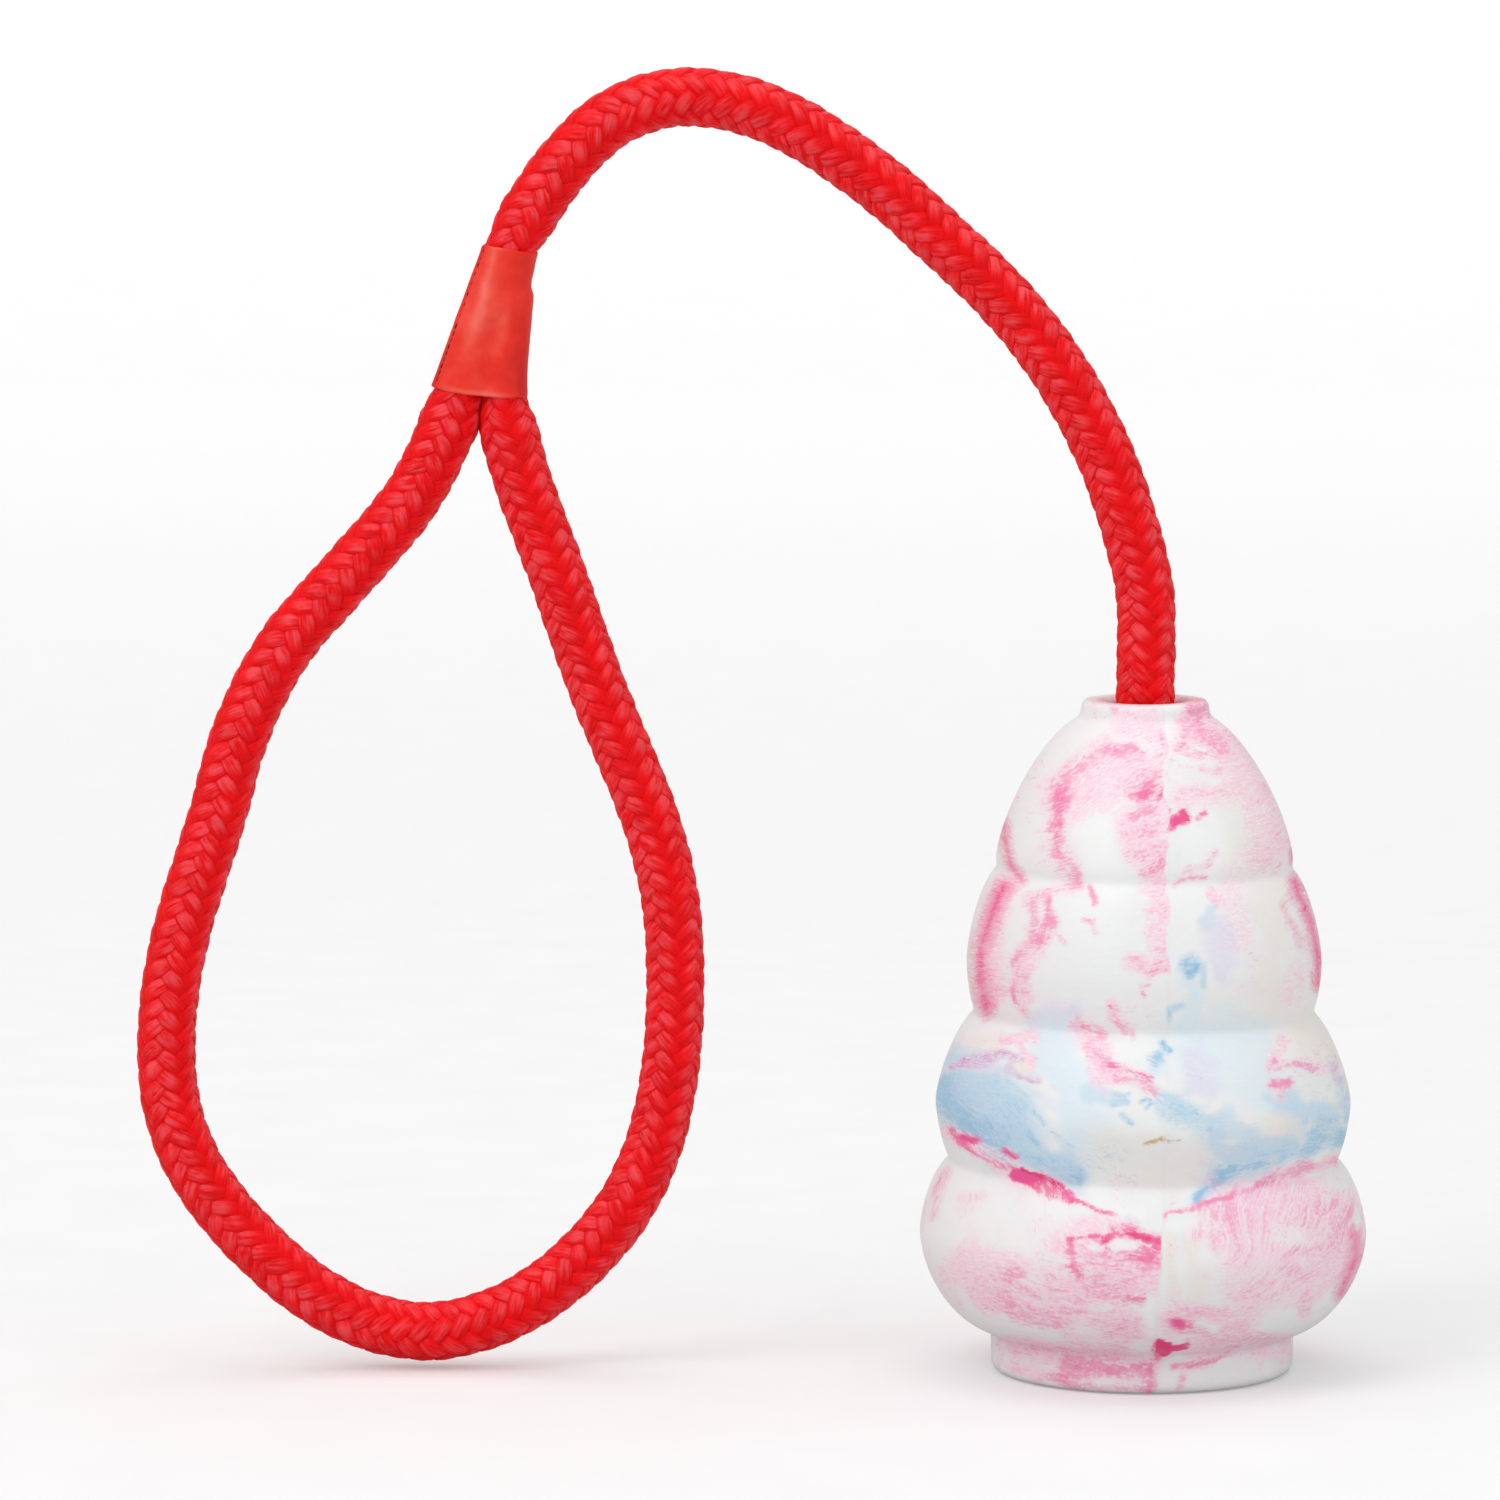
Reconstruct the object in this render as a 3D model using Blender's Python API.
"""Training bumper: a hollow, stacked-bulb natural-rubber body carried on a braided rope.

The rope is held under the body by a stopper knot and a loose washer, leaves the
collar, arches over and is doubled into a hand loop whose two legs are gripped by
a shrunk sleeve.  The rope is a chain of short rigid lengths: each ends in a ball
that sits in a spherical socket of its neighbour, both centred on the hinge point.

Units: dimensions are in millimetres, meshes are made in metres.
Frame: +Z up, foot ring on Z = 0, rope in the XZ plane, body on the right (+X),
origin under the middle of the bounding box.
"""

import math
from collections import namedtuple

import bmesh
import bpy
from mathutils import Matrix, Vector

MM = 0.001
GAP = 0.3                 # running gap between neighbouring solids
BODY_X = 52.0             # X of the rubber body's axis
Y_AXIS = Vector((0.0, 1.0, 0.0))

# ----------------------------------------------------------------- rubber body
BODY_TOP = 89.5           # collar face
COLLAR_R = 8.5
COLLAR_H = 2.3
SHOULDER_Z = BODY_TOP - COLLAR_H
SHOULDER_R = 8.7
BORE_R = 5.1
EDGE = 0.6                # chamfer on the collar and at both ends of the bore
FOOT_R = 20.1
FOOT_H = 5.6
FOOT_ROUNDING = 1.0
FOOT_ROUNDING_MID = 0.3   # inset of the rounding's middle point
CAVITY_R = 15.0
CAVITY_TOP = 34.0
CAVITY_LIP = 0.8          # chamfer at the cavity's open end
CAVITY_CORNER = 3.0       # rounding under the cavity's roof
CAVITY_CORNER_MID = 0.9
CREASE = 0.2              # depth of the groove between two bulbs
CREASE_HALF_H = 0.35
CREASE_SIDE = CREASE * 0.2    # depth at the groove's upper and lower edges
BODY_STEPS = 40
BULB_STEPS = 6            # steps in a quarter curve
SHORT_BULB_H = 3.0        # a lower curve below this height gets only two steps
# Bulbs from the top down; each starts where the one above ends.
# widest z, widest r, bottom z, bottom r, upper fullness, lower fullness
BULBS = (
    (68.6, 19.65, 67.2, 19.35, 1.40, 2.0),
    (54.9, 23.55, 48.0, 22.25, 1.50, 1.7),
    (36.0, 27.60, 28.2, 25.60, 1.40, 1.4),
    (18.4, 29.70, FOOT_H, 20.60, 1.55, 1.7),
)

# ------------------------------------------------------ washer, knot and tail
WASHER_R = 11.8
WASHER_HOLE_R = 4.5
WASHER_H = 2.0
WASHER_Z = CAVITY_TOP - GAP - WASHER_H    # underside
WASHER_STEPS = 24
WASHER_BEVEL = 0.3

KNOT_R = 11.3
KNOT_H = 8.0              # half height
KNOT_Z = WASHER_Z - GAP - KNOT_H          # centre
KNOT_WRAPS = 3
KNOT_LEAN = 2.2           # turn of the wraps per unit of latitude
KNOT_GROOVE = 0.085       # depth between wraps, as a share of the radius
KNOT_POWER = 2.4          # above 2 makes the ball squarer
KNOT_SWELL = 1.06         # limit on that squaring

TAIL_TOP = KNOT_Z - KNOT_H - GAP
TAIL_Z = 11.3
# The tail from the top down: z, radius
TAIL = (
    (TAIL_TOP, 0.0), (TAIL_TOP, 3.3), (TAIL_TOP - 0.5, 3.7),
    (TAIL_Z + 1.2, 3.7), (TAIL_Z + 0.4, 3.3), (TAIL_Z, 2.4), (TAIL_Z, 0.0),
)

# ------------------------------------------------------------------------ rope
ROPE_R = 3.85
SQUEEZED = (2.65, 3.45)   # half width and half depth where the sleeve grips the rope
AROUND = 12               # sides of a cover
SPACING = 4.2             # usual distance between cover sections
PATH_STEPS = 24           # steps between two centreline points
TANGENT_REACH = 0.8       # a tangent is taken over this length either way

CORE_AROUND = 8
CORE_BORE_R = 2.3
COVER_WALL = 0.55         # least cover wall round the bore
BORE_SHORT = 1.0          # the blind bore stops this far before the end pivot
MOUTH_INSET = 0.2         # bore mouth beyond the rope's half depth, at a socket
CORE_INSET = 0.35         # core end inside that mouth

BALL_DEGREES = (20, 42, 65)
RIM_DEG = 35.0            # how far the socket is cut back, which sets its free bend
SOCKET_DEGREES = (18, 36, 90 - RIM_DEG)
SOCKET_BORE_STEP = 0.1    # least step in radius from the bore to the next section
RIM_LAND = 0.26           # extra length between a socket's rim and the side
OPEN_SOCKET = 1.0         # extra clearance round the ball at the loop's opened pivot
FLAT_CHAMFER = 0.4        # radial chamfer of a flat start
FLAT_CHAMFER_LENGTH = 0.5

# Rope length from the collar face to each pivot of the arch
FIRST_PIVOT = 14.5
PIVOT_PITCH = 17.0
ARCH_LENGTHS = 6
ARCH_PIVOTS = [FIRST_PIVOT + PIVOT_PITCH * i for i in range(ARCH_LENGTHS + 1)]
STUB = 10.6               # rope length from the mouth pivots to the next loop pivots

# Named points of the centrelines: X from the body's axis, Z
SLEEVE_ENTRY = (-83.8, 149.0)
SWING_RIGHT, SWING_LEFT = (-85.0, 129.05), (-90.8, 129.7)      # pivots in the sleeve's mouth
LOOP_RIGHT, LOOP_BOTTOM, LOOP_LEFT = (-62.2, 52.9), (-95.1, 4.8), (-129.8, 43.5)

# Centreline of the knot, rising part, arch and sleeve: X from the body's axis, Z
ARCH = (
    (0.0, 20.0), (0.0, 60.0), (0.0, 90.0), (0.1, 97.5), (-0.4, 105.6), (-3.7, 117.3),
    (-6.9, 124.9), (-10.9, 132.1), (-15.6, 138.7), (-21.1, 144.8), (-27.1, 150.4),
    (-33.1, 155.9), (-39.6, 160.9), (-46.6, 165.3), (-54.1, 168.2), (-62.4, 168.9),
    (-70.1, 166.3), (-76.2, 160.8), (-81.0, 154.1), SLEEVE_ENTRY, (-87.3, 139.9),
    SWING_LEFT, (-92.0, 126.0),
)
# Hand loop, from the sleeve's mouth down the right leg, round and up the left leg:
# X from the body's axis, Z
LOOP = (
    (-84.6, 133.0), SWING_RIGHT, (-84.3, 125.3), (-82.2, 118.4), (-80.2, 112.8),
    (-77.8, 106.4), (-75.2, 98.8), (-72.6, 91.4), (-69.7, 84.2), (-66.6, 76.7),
    (-64.1, 69.0), (-62.6, 61.0), LOOP_RIGHT, (-62.4, 45.0), (-63.4, 36.8),
    (-65.4, 29.0), (-68.9, 21.7), (-73.9, 15.4), (-80.1, 10.1), (-87.2, 6.4),
    LOOP_BOTTOM, (-103.1, 6.2), (-110.4, 9.9), (-116.5, 15.0), (-122.1, 21.0),
    (-126.6, 27.8), (-129.2, 35.4), LOOP_LEFT, (-129.1, 51.6), (-127.4, 59.6),
    (-125.0, 67.3), (-122.5, 75.1), (-120.4, 82.9), (-117.3, 90.4), (-113.1, 97.4),
    (-107.7, 103.6), (-98.9, 113.6), (-95.1, 119.3), (-92.0, 126.0), SWING_LEFT,
    (-89.6, 133.0),
)

# Size tables: rope length, half width, half depth
FULL_ROPE = ((0.0, ROPE_R, ROPE_R),)
FLARE = (
    (0.0, *SQUEEZED),
    (2.2, SQUEEZED[0] + 0.1, SQUEEZED[1] + 0.05),
    (6.5, ROPE_R, ROPE_R),
)
# The rope narrows between these lengths before the sleeve entry
NARROW_START = 7.0
NARROW_END = 0.5

# ---------------------------------------------------------------------- sleeve
# Left and right corners: X from the body's axis, Z
SLEEVE_TOP = ((-87.4, 149.5), (-80.2, 148.4))
SLEEVE_MOUTH = ((-94.1, 131.1), (-81.6, 129.7))
SLEEVE_WALL = 0.5
SLEEVE_DEPTH = (4.3, 4.7)  # half thickness at the top and at the mouth
SLEEVE_STEPS = 5
SLEEVE_AROUND = 24
SLEEVE_POWER = 2.5        # above 2 makes the section squarer

END_START = 0.3           # where the folded-back rope end starts, as a share of the sleeve
END_STATIONS = (END_START, 0.4, 0.55, 0.7, 0.85)
# The closing of its start: distance before the first station, share of the section
END_CAP = ((0.3, 0.0), (0.1, 0.6))
# Its half depth follows its half width, up to the squeezed depth
END_DEPTH_RATIO = 1.35
END_DEPTH_EXTRA = 0.35

STITCHES = 7
STITCH_STEPS = 6          # steps in one stitch
THREAD_R = 0.22
THREAD_SIDES = 5
THREAD_START = 0.05       # as a share of the sleeve
THREAD_SPAN = 0.9
THREAD_OFF = GAP + THREAD_R + 0.03        # thread's centre outside the skin
THREAD_TURN = 24          # degrees from the sleeve's left edge towards -Y
THREAD_SWAY = 9           # degrees either way
THREAD_POWER = 0.8        # fits the thread's place to the squarish section
THREAD_FACING = Vector((0.6, -0.8, 0))    # sets how the thread's section is turned

# ------------------------------------------------------------------- materials
# name: base colour, roughness
MATERIALS = {
    "natural_rubber": {"colour": (0.85, 0.72, 0.78), "roughness": 0.55},
    "rope_cover": {"colour": (0.78, 0.015, 0.02), "roughness": 0.8},
    "rope_core": {"colour": (0.82, 0.80, 0.75), "roughness": 0.9},
    "sleeve_skin": {"colour": (0.75, 0.05, 0.025), "roughness": 0.42},
    "seam_thread": {"colour": (0.05, 0.05, 0.08), "roughness": 0.7},
    "washer": {"colour": (0.75, 0.75, 0.72), "roughness": 0.5},
}


def make_material(name, colour, roughness):
    mat = bpy.data.materials.new(name)
    mat.use_nodes = True
    shader = mat.node_tree.nodes["Principled BSDF"]
    shader.inputs["Base Color"].default_value = (*colour, 1.0)
    shader.inputs["Roughness"].default_value = roughness
    shader.inputs["Metallic"].default_value = 0.0
    return mat


# ------------------------------------------------------------------ centreline
def plane_point(x, z):
    """A point of the rope's plane, X from the body's axis."""
    return Vector((BODY_X + x, 0.0, z))


class Path:
    """A Catmull-Rom curve in the XZ plane, by length from the dot nearest `zero_at`."""

    def __init__(self, points, zero_at):
        knots = [plane_point(*point) for point in points]
        knots = [2 * knots[0] - knots[1]] + knots + [2 * knots[-1] - knots[-2]]
        self.dots = []
        for before, start, end, after in zip(knots, knots[1:], knots[2:], knots[3:]):
            for k in range(PATH_STEPS):
                t = k / PATH_STEPS
                self.dots.append(
                    0.5 * (2 * start + (end - before) * t
                           + (2 * before - 5 * start + 4 * end - after) * t * t
                           + (3 * start - before - 3 * end + after) * t ** 3)
                )
        self.dots.append(knots[-2])
        self.at_dot = [0.0]
        for one, two in zip(self.dots, self.dots[1:]):
            self.at_dot.append(self.at_dot[-1] + (two - one).length)
        self.zero = 0.0
        self.zero = self.nearest(plane_point(*zero_at))

    def point(self, place):
        place = min(max(place + self.zero, 0.0), self.at_dot[-1])
        low, high = 0, len(self.at_dot) - 1
        while high - low > 1:
            mid = (low + high) // 2
            low, high = (mid, high) if self.at_dot[mid] <= place else (low, mid)
        span = self.at_dot[high] - self.at_dot[low]
        share = (place - self.at_dot[low]) / span if span else 0.0
        return self.dots[low].lerp(self.dots[high], share)

    def tangent(self, place):
        return (self.point(place + TANGENT_REACH) - self.point(place - TANGENT_REACH)).normalized()

    def nearest(self, target):
        best = min(range(len(self.dots)), key=lambda i: (self.dots[i] - target).length)
        return self.at_dot[best] - self.zero


# ---------------------------------------------------------------- mesh helpers
# One cross-section: centre, direction, half width in the XZ plane, half depth along Y
Section = namedtuple("Section", "centre along wide deep")


def finish(bm, name, mat, sharp=40.0):
    """Turns the bmesh into a linked object, smooth up to `sharp` degrees."""
    bmesh.ops.recalc_face_normals(bm, faces=bm.faces[:])
    mesh = bpy.data.meshes.new(name)
    bm.to_mesh(mesh)
    bm.free()
    mesh.materials.append(mat)
    mesh.shade_smooth()
    mesh.set_sharp_from_angle(angle=math.radians(sharp))
    obj = bpy.data.objects.new(name, mesh)
    bpy.context.scene.collection.objects.link(obj)
    return obj


def put_origin(obj, point):
    """Moves the object's origin to a point (mm) without moving its shape."""
    origin = point * MM
    obj.data.transform(Matrix.Translation(-origin))
    obj.location = origin


def section_verts(bm, section, around, power):
    """The vertices of one section; a section of no width is a single pole."""
    centre, along, wide, deep = section
    if wide < 1e-6:
        return [bm.verts.new(centre * MM)]
    side = along.cross(Y_AXIS).normalized()
    verts = []
    for k in range(around):
        turn = 2 * math.pi * (k + 0.5) / around
        across, depth = math.cos(turn), math.sin(turn)
        across = math.copysign(abs(across) ** (2 / power), across)
        depth = math.copysign(abs(depth) ** (2 / power), depth)
        offset = side * (wide * across) + Vector((0, deep * depth, 0))
        verts.append(bm.verts.new((centre + offset) * MM))
    return verts


def loft(name, sections, around, mat, closed=False, power=2.0):
    """Joins cross-sections into one closed body."""
    bm = bmesh.new()
    loops = [section_verts(bm, section, around, power) for section in sections]
    pairs = list(zip(loops, loops[1:]))
    if closed:
        pairs.append((loops[-1], loops[0]))
    for one, two in pairs:
        for k in range(around):
            after = (k + 1) % around
            if len(one) == 1:
                bm.faces.new((one[0], two[k], two[after]))
            elif len(two) == 1:
                bm.faces.new((one[k], two[0], one[after]))
            else:
                bm.faces.new((one[k], two[k], two[after], one[after]))
    return finish(bm, name, mat)


def revolve(name, profile, steps, mat, sharp):
    """A closed (r, z) profile spun about the body's axis."""
    bm = bmesh.new()
    verts = [bm.verts.new(((BODY_X + r) * MM, 0.0, z * MM)) for r, z in profile]
    edges = [bm.edges.new((verts[i], verts[(i + 1) % len(verts)])) for i in range(len(verts))]
    bmesh.ops.spin(
        bm, geom=verts + edges, cent=(BODY_X * MM, 0, 0), axis=(0, 0, 1),
        angle=2 * math.pi, steps=steps, use_merge=True, use_duplicate=False,
    )
    bmesh.ops.remove_doubles(bm, verts=bm.verts[:], dist=1e-7)
    return finish(bm, name, mat, sharp)


# ----------------------------------------------------------------- rubber body
def quarter_curve(steps, fullness):
    """(cosine, sine) pairs inside a quarter of a superellipse, without its ends."""
    for k in range(1, steps):
        turn = math.pi / 2 * k / steps
        yield math.cos(turn) ** (2 / fullness), math.sin(turn) ** (2 / fullness)


def bulb_side(top_z, top_r, wide_z, wide_r, bottom_z, bottom_r, upper, lower):
    """(r, z) points down one bulb, without its two creases."""
    points = [
        (top_r + (wide_r - top_r) * sine, wide_z + (top_z - wide_z) * cosine)
        for cosine, sine in quarter_curve(BULB_STEPS, upper)
    ]
    points.append((wide_r, wide_z))
    lower_steps = 2 if wide_z - bottom_z < SHORT_BULB_H else BULB_STEPS - 1
    points += [
        (bottom_r + (wide_r - bottom_r) * cosine, wide_z + (bottom_z - wide_z) * sine)
        for cosine, sine in quarter_curve(lower_steps, lower)
    ]
    return points


def body_outside():
    """(r, z) points from the collar face down to the foot."""
    points = [
        (COLLAR_R - EDGE, BODY_TOP), (COLLAR_R, BODY_TOP - EDGE), (COLLAR_R, SHOULDER_Z + 0.1),
    ]
    z, r = SHOULDER_Z, SHOULDER_R
    for bulb in BULBS:
        points += bulb_side(z, r, *bulb)
        z, r = bulb[2:4]
        if bulb is not BULBS[-1]:
            points += [
                (r - CREASE_SIDE, z + CREASE_HALF_H),
                (r - CREASE, z),
                (r - CREASE_SIDE, z - CREASE_HALF_H),
            ]
    return points + [
        (FOOT_R, FOOT_H - 0.1), (FOOT_R, FOOT_ROUNDING),
        (FOOT_R - FOOT_ROUNDING_MID, FOOT_ROUNDING_MID), (FOOT_R - FOOT_ROUNDING, 0.0),
    ]


def body_inside():
    """(r, z) points from the foot up the cavity and the bore."""
    return [
        (CAVITY_R + CAVITY_LIP, 0.0), (CAVITY_R, CAVITY_LIP),
        (CAVITY_R, 12.0), (CAVITY_R, CAVITY_TOP - CAVITY_CORNER),
        (CAVITY_R - CAVITY_CORNER_MID, CAVITY_TOP - CAVITY_CORNER_MID),
        (CAVITY_R - CAVITY_CORNER, CAVITY_TOP),
        (BORE_R + EDGE, CAVITY_TOP), (BORE_R, CAVITY_TOP + EDGE),
        (BORE_R, 52.0), (BORE_R, 70.0),
        (BORE_R, BODY_TOP - EDGE), (BORE_R + EDGE, BODY_TOP),
    ]


def rubber_body(mat):
    revolve("rubber_body", body_outside() + body_inside(), BODY_STEPS, mat, sharp=50)


# ------------------------------------------------------ washer, knot and tail
def stop_washer(mat):
    """The loose washer under the cavity's roof."""
    top = WASHER_Z + WASHER_H
    profile = [(WASHER_HOLE_R, WASHER_Z), (WASHER_HOLE_R, top), (WASHER_R, top),
               (WASHER_R, WASHER_Z)]
    washer = revolve("stop_washer", profile, WASHER_STEPS, mat, sharp=30)
    bevel = washer.modifiers.new("edge", "BEVEL")
    bevel.width = WASHER_BEVEL * MM
    bevel.segments = 1
    bevel.limit_method = "ANGLE"
    bevel.angle_limit = math.radians(50)


def stopper_knot(mat):
    """The knot as one lumpy solid: three wraps leaning round a squat ball."""
    bm = bmesh.new()
    bmesh.ops.create_uvsphere(bm, u_segments=28, v_segments=16, radius=1.0)
    for vert in bm.verts:
        x, y, z = vert.co
        turn, tilt = math.atan2(y, x), math.asin(max(-1.0, min(1.0, z)))
        wave = (1 - math.cos(KNOT_WRAPS * turn + KNOT_LEAN * tilt)) / 2
        lobes = 1.0 - KNOT_GROOVE * math.cos(tilt) * wave
        swell = sum(abs(part) ** KNOT_POWER for part in (x, y, z)) ** (-1 / KNOT_POWER)
        squat = Vector((x * KNOT_R, y * KNOT_R, z * KNOT_H))
        vert.co = squat * min(swell, KNOT_SWELL) * lobes * MM
    # bring the height back to its stated size
    top = max(vert.co.z for vert in bm.verts)
    for vert in bm.verts:
        vert.co.z *= KNOT_H * MM / top
    knot = finish(bm, "stopper_knot", mat, sharp=75)
    knot.location = plane_point(0, KNOT_Z) * MM


def rope_tail(mat):
    """The short rope end below the knot."""
    down = Vector((0, 0, -1))
    loft("rope_tail", [Section(plane_point(0, z), down, r, r) for z, r in TAIL], AROUND, mat)


# ---------------------------------------------------------------- rope lengths
def ball_end(centre, along, wide, deep):
    """Half a ball past `centre`, pole last."""
    sections = []
    for degrees in BALL_DEGREES:
        angle = math.radians(degrees)
        shrink = math.cos(angle)
        sections.append(Section(centre + along * (deep * math.sin(angle)), along,
                                wide * shrink, deep * shrink))
    sections.append(Section(centre + along * deep, along, 0, 0))
    return sections


def socket(pivot, along, wide, deep, bore=0.0, extra=0.0, inward=1):
    """The hollow facing a ball, from the bore (or a pole) out to the rim.

    `inward` is 1 if the cover lies ahead of the pivot and -1 if behind it.
    """
    wide += GAP + extra
    deep += GAP + extra
    reach = math.sqrt(deep * deep - bore * bore)
    sections = [Section(pivot + along * (inward * reach), along, bore, bore)]
    for degrees in SOCKET_DEGREES:
        angle = math.radians(degrees)
        if wide * math.sin(angle) > bore + SOCKET_BORE_STEP:
            sections.append(Section(pivot + along * (inward * deep * math.cos(angle)), along,
                                    wide * math.sin(angle), deep * math.sin(angle)))
    return sections


def size_at(sizes, place):
    """Half width and half depth at a place, eased between the rows of a size table."""
    if place <= sizes[0][0]:
        return sizes[0][1:]
    for (place0, wide0, deep0), (place1, wide1, deep1) in zip(sizes, sizes[1:]):
        if place <= place1:
            t = (place - place0) / (place1 - place0)
            t = t * t * (3 - 2 * t)
            return (wide0 + (wide1 - wide0) * t, deep0 + (deep1 - deep0) * t)
    return sizes[-1][1:]


def path_pole(path, place):
    return Section(path.point(place), path.tangent(place), 0, 0)


def path_sections(path, first, last, spacing, sizes):
    """Evenly spaced sections along a path, both ends included."""
    count = max(2, round(abs(last - first) / spacing))
    places = [first + (last - first) * k / count for k in range(count + 1)]
    return [Section(path.point(s), path.tangent(s), *size_at(sizes, s)) for s in places]


def rope_length(name, path, start, end, mats, sizes=FULL_ROPE, spacing=SPACING,
                flat_start=False, open_end=False):
    """One rigid length of rope, its origin at its start.

    It starts with a socket, or flat, and ends in a ball.  The cover has a blind
    bore from its start, with a core in it.  With an open end it has a wide socket
    in place of the ball, and neither bore nor core.
    """
    start_size, end_size = size_at(sizes, start), size_at(sizes, end)
    start_point, start_along = path.point(start), path.tangent(start)
    end_point, end_along = path.point(end), path.tangent(end)
    rim_share = math.sin(math.radians(RIM_DEG))
    bore = 0.0 if open_end else min(CORE_BORE_R, start_size[0] - COVER_WALL)
    mouth = start if flat_start else start + start_size[1] + MOUTH_INSET
    bottom = end - BORE_SHORT

    # blind bore, from its bottom to the start
    sections = []
    if not open_end:
        sections.append(path_pole(path, bottom))
        sections += path_sections(path, bottom, mouth, 2 * spacing, ((0.0, bore, bore),))
    # start
    if flat_start:
        chamfered = [size - FLAT_CHAMFER for size in start_size]
        sections.append(Section(start_point, start_along, *chamfered))
        first = start + FLAT_CHAMFER_LENGTH
    else:
        sections += socket(start_point, start_along, *start_size, bore=bore)
        first = start + start_size[1] * rim_share + RIM_LAND
    # sides
    last = end
    if open_end:
        last -= (end_size[1] + GAP + OPEN_SOCKET) * rim_share + RIM_LAND
    sections += path_sections(path, first, last, spacing, sizes)
    # end
    if open_end:
        sections += socket(end_point, end_along, *end_size, extra=OPEN_SOCKET, inward=-1)[::-1]
    else:
        sections += ball_end(end_point, end_along, *end_size)
    put_origin(loft(name, sections, AROUND, mats["rope_cover"]), start_point)

    if not open_end:
        core_start = mouth + (GAP if flat_start else CORE_INSET)
        core = rope_core(name + "_core", path, core_start, bottom - GAP, bore - GAP,
                         2 * spacing, mats["rope_core"])
        put_origin(core, start_point)


def rope_core(name, path, start, end, radius, spacing, mat):
    """The round core inside one length's blind bore."""
    sides = path_sections(path, start, end, spacing, ((0.0, radius, radius),))
    sections = [path_pole(path, start)] + sides + [path_pole(path, end)]
    return loft(name, sections, CORE_AROUND, mat)


def arch_rope(mats):
    """The rope from the knot, through washer and bore, over the arch and into the sleeve."""
    arch = Path(ARCH, zero_at=(0, BODY_TOP))
    rope_length("rope_stem", arch, WASHER_Z - BODY_TOP, ARCH_PIVOTS[0], mats,
                spacing=12.0, flat_start=True)
    for i in range(ARCH_LENGTHS):
        rope_length(f"rope_arch_{i + 1}", arch, ARCH_PIVOTS[i], ARCH_PIVOTS[i + 1], mats)

    swing = arch.nearest(plane_point(*SWING_LEFT))
    entry = arch.nearest(plane_point(*SLEEVE_ENTRY))
    narrowing = (
        (0.0, ROPE_R, ROPE_R),
        (entry - NARROW_START, ROPE_R, ROPE_R),
        (entry - NARROW_END, *SQUEEZED),
    )
    rope_length("rope_into_sleeve", arch, ARCH_PIVOTS[-1], swing, mats,
                sizes=narrowing, spacing=3.4)


def hand_loop(mats):
    """Two stubs from the sleeve's mouth and four long lengths round the loop."""
    loop = Path(LOOP, zero_at=SWING_RIGHT)
    back = Path(LOOP[::-1], zero_at=SWING_LEFT)
    right, bottom, left = (
        loop.nearest(plane_point(*pivot)) for pivot in (LOOP_RIGHT, LOOP_BOTTOM, LOOP_LEFT)
    )
    open_at = loop.nearest(back.point(STUB))
    rope_length("loop_right_stub", loop, 0.0, STUB, mats, sizes=FLARE, spacing=2.6)
    rope_length("loop_left_stub", back, 0.0, STUB, mats, sizes=FLARE, spacing=1.9,
                open_end=True)
    rope_length("loop_right_upper", loop, STUB, right, mats)
    rope_length("loop_right_lower", loop, right, bottom, mats)
    rope_length("loop_left_lower", loop, bottom, left, mats)
    rope_length("loop_left_upper", loop, left, open_at, mats)


# ---------------------------------------------------------------------- sleeve
def sleeve_edges(t):
    """Left and right edge of the sleeve at t, 0 at its top and 1 at its mouth."""
    return [plane_point(*top).lerp(plane_point(*mouth), t)
            for top, mouth in zip(SLEEVE_TOP, SLEEVE_MOUTH)]


def sleeve_section(t, inset=0.0):
    """The sleeve's section at t, directed down towards its mouth."""
    left, right = sleeve_edges(t)
    across = (right - left).normalized()
    along = Vector((across.z, 0, -across.x))
    deep = SLEEVE_DEPTH[0] + (SLEEVE_DEPTH[1] - SLEEVE_DEPTH[0]) * t
    return Section((left + right) / 2, along, (right - left).length / 2 - inset, deep - inset)


def grip_sleeve(mat):
    """The flattened tube round both rope legs."""
    stations = [k / SLEEVE_STEPS for k in range(SLEEVE_STEPS + 1)]
    outside = [sleeve_section(t) for t in stations]
    inside = [sleeve_section(t, inset=SLEEVE_WALL) for t in reversed(stations)]
    loft("grip_sleeve", outside + inside, SLEEVE_AROUND, mat, closed=True, power=SLEEVE_POWER)


def end_section(t):
    """The folded-back end's section, against the sleeve's right wall."""
    left, right = sleeve_edges(t)
    across = (right - left).normalized()
    room = (right - left).length - 2 * SLEEVE_WALL
    half = min(SQUEEZED[0], (room - 2 * SQUEEZED[0] - 3 * GAP) / 2)
    deep = min(SQUEEZED[1], END_DEPTH_RATIO * half + END_DEPTH_EXTRA)
    centre = right - across * (SLEEVE_WALL + GAP + half)
    return Section(centre, sleeve_section(t).along, half, deep)


def end_in_sleeve(mat):
    """The folded-back rope end: a flattened wedge, ending in a ball at the right mouth pivot."""
    sides = [end_section(t) for t in END_STATIONS]
    centre, along, wide, deep = sides[0]
    cap = [Section(centre - along * before, along, wide * share, deep * share)
           for before, share in END_CAP]
    pivot = Section(plane_point(*SWING_RIGHT), sleeve_section(1.0).along, *SQUEEZED)
    loft("rope_end_in_sleeve", cap + sides + [pivot] + ball_end(*pivot), AROUND, mat)


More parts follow.
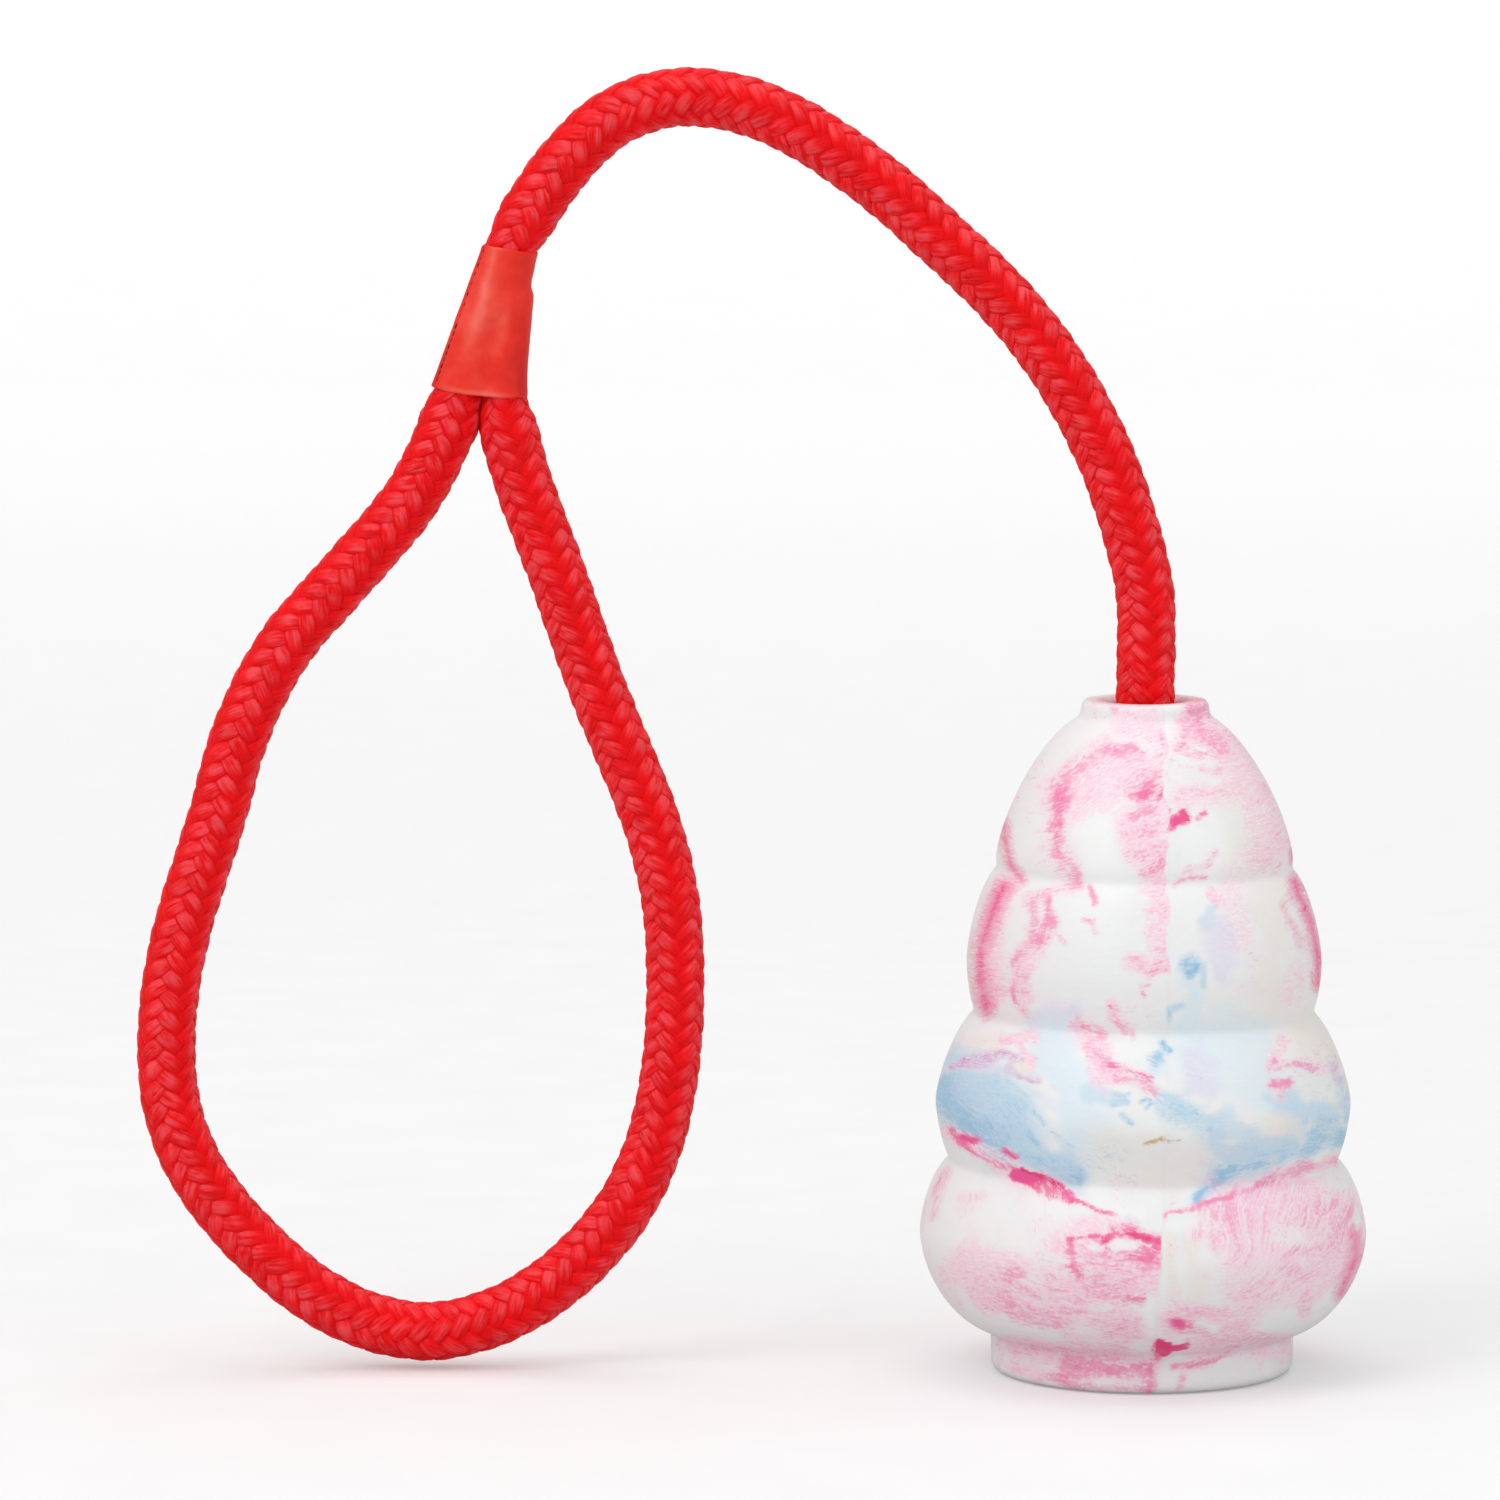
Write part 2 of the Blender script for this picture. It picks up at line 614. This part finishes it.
def thread_centre(step, steps):
    """A point of the snaking thread, round the sleeve's left edge towards -Y."""
    centre, along, wide, deep = sleeve_section(THREAD_START + THREAD_SPAN * step / steps)
    leftward = -along.cross(Y_AXIS).normalized()
    wave = math.sin(2 * math.pi * STITCHES * step / steps)
    turn = math.radians(THREAD_TURN + THREAD_SWAY * wave)
    out = (wide + THREAD_OFF) * math.cos(turn) ** THREAD_POWER
    depth = (deep + THREAD_OFF) * math.sin(turn) ** THREAD_POWER
    return centre + leftward * out + Vector((0, -depth, 0))


def seam_thread(mat):
    """One thread that snakes along the sleeve's left edge, just outside its skin."""
    steps = STITCHES * STITCH_STEPS
    centres = [thread_centre(step, steps) for step in range(steps + 1)]
    bm = bmesh.new()
    loops = []
    for i, centre in enumerate(centres):
        along = (centres[min(i + 1, steps)] - centres[max(i - 1, 0)]).normalized()
        side = along.cross(THREAD_FACING).normalized()
        up = along.cross(side)
        loop = []
        for k in range(THREAD_SIDES):
            turn = 2 * math.pi * k / THREAD_SIDES
            offset = side * (THREAD_R * math.cos(turn)) + up * (THREAD_R * math.sin(turn))
            loop.append(bm.verts.new((centre + offset) * MM))
        loops.append(loop)
    for one, two in zip(loops, loops[1:]):
        for k in range(THREAD_SIDES):
            after = (k + 1) % THREAD_SIDES
            bm.faces.new((one[k], two[k], two[after], one[after]))
    bm.faces.new(loops[0])
    bm.faces.new(loops[-1])
    finish(bm, "sleeve_seam_thread", mat, sharp=60)


# ----------------------------------------------------------------------- build
def clear():
    for obj in list(bpy.data.objects):
        bpy.data.objects.remove(obj, do_unlink=True)


def body_axis():
    """An empty on Z = 0 that marks the rubber body's axis."""
    axis = bpy.data.objects.new("body_axis", None)
    axis.location = (BODY_X * MM, 0, 0)
    bpy.context.scene.collection.objects.link(axis)


def build():
    clear()
    mats = {name: make_material(name, **look) for name, look in MATERIALS.items()}
    body_axis()
    rubber_body(mats["natural_rubber"])
    stop_washer(mats["washer"])
    stopper_knot(mats["rope_cover"])
    rope_tail(mats["rope_cover"])
    arch_rope(mats)
    end_in_sleeve(mats["rope_cover"])
    grip_sleeve(mats["sleeve_skin"])
    seam_thread(mats["seam_thread"])
    hand_loop(mats)


build()
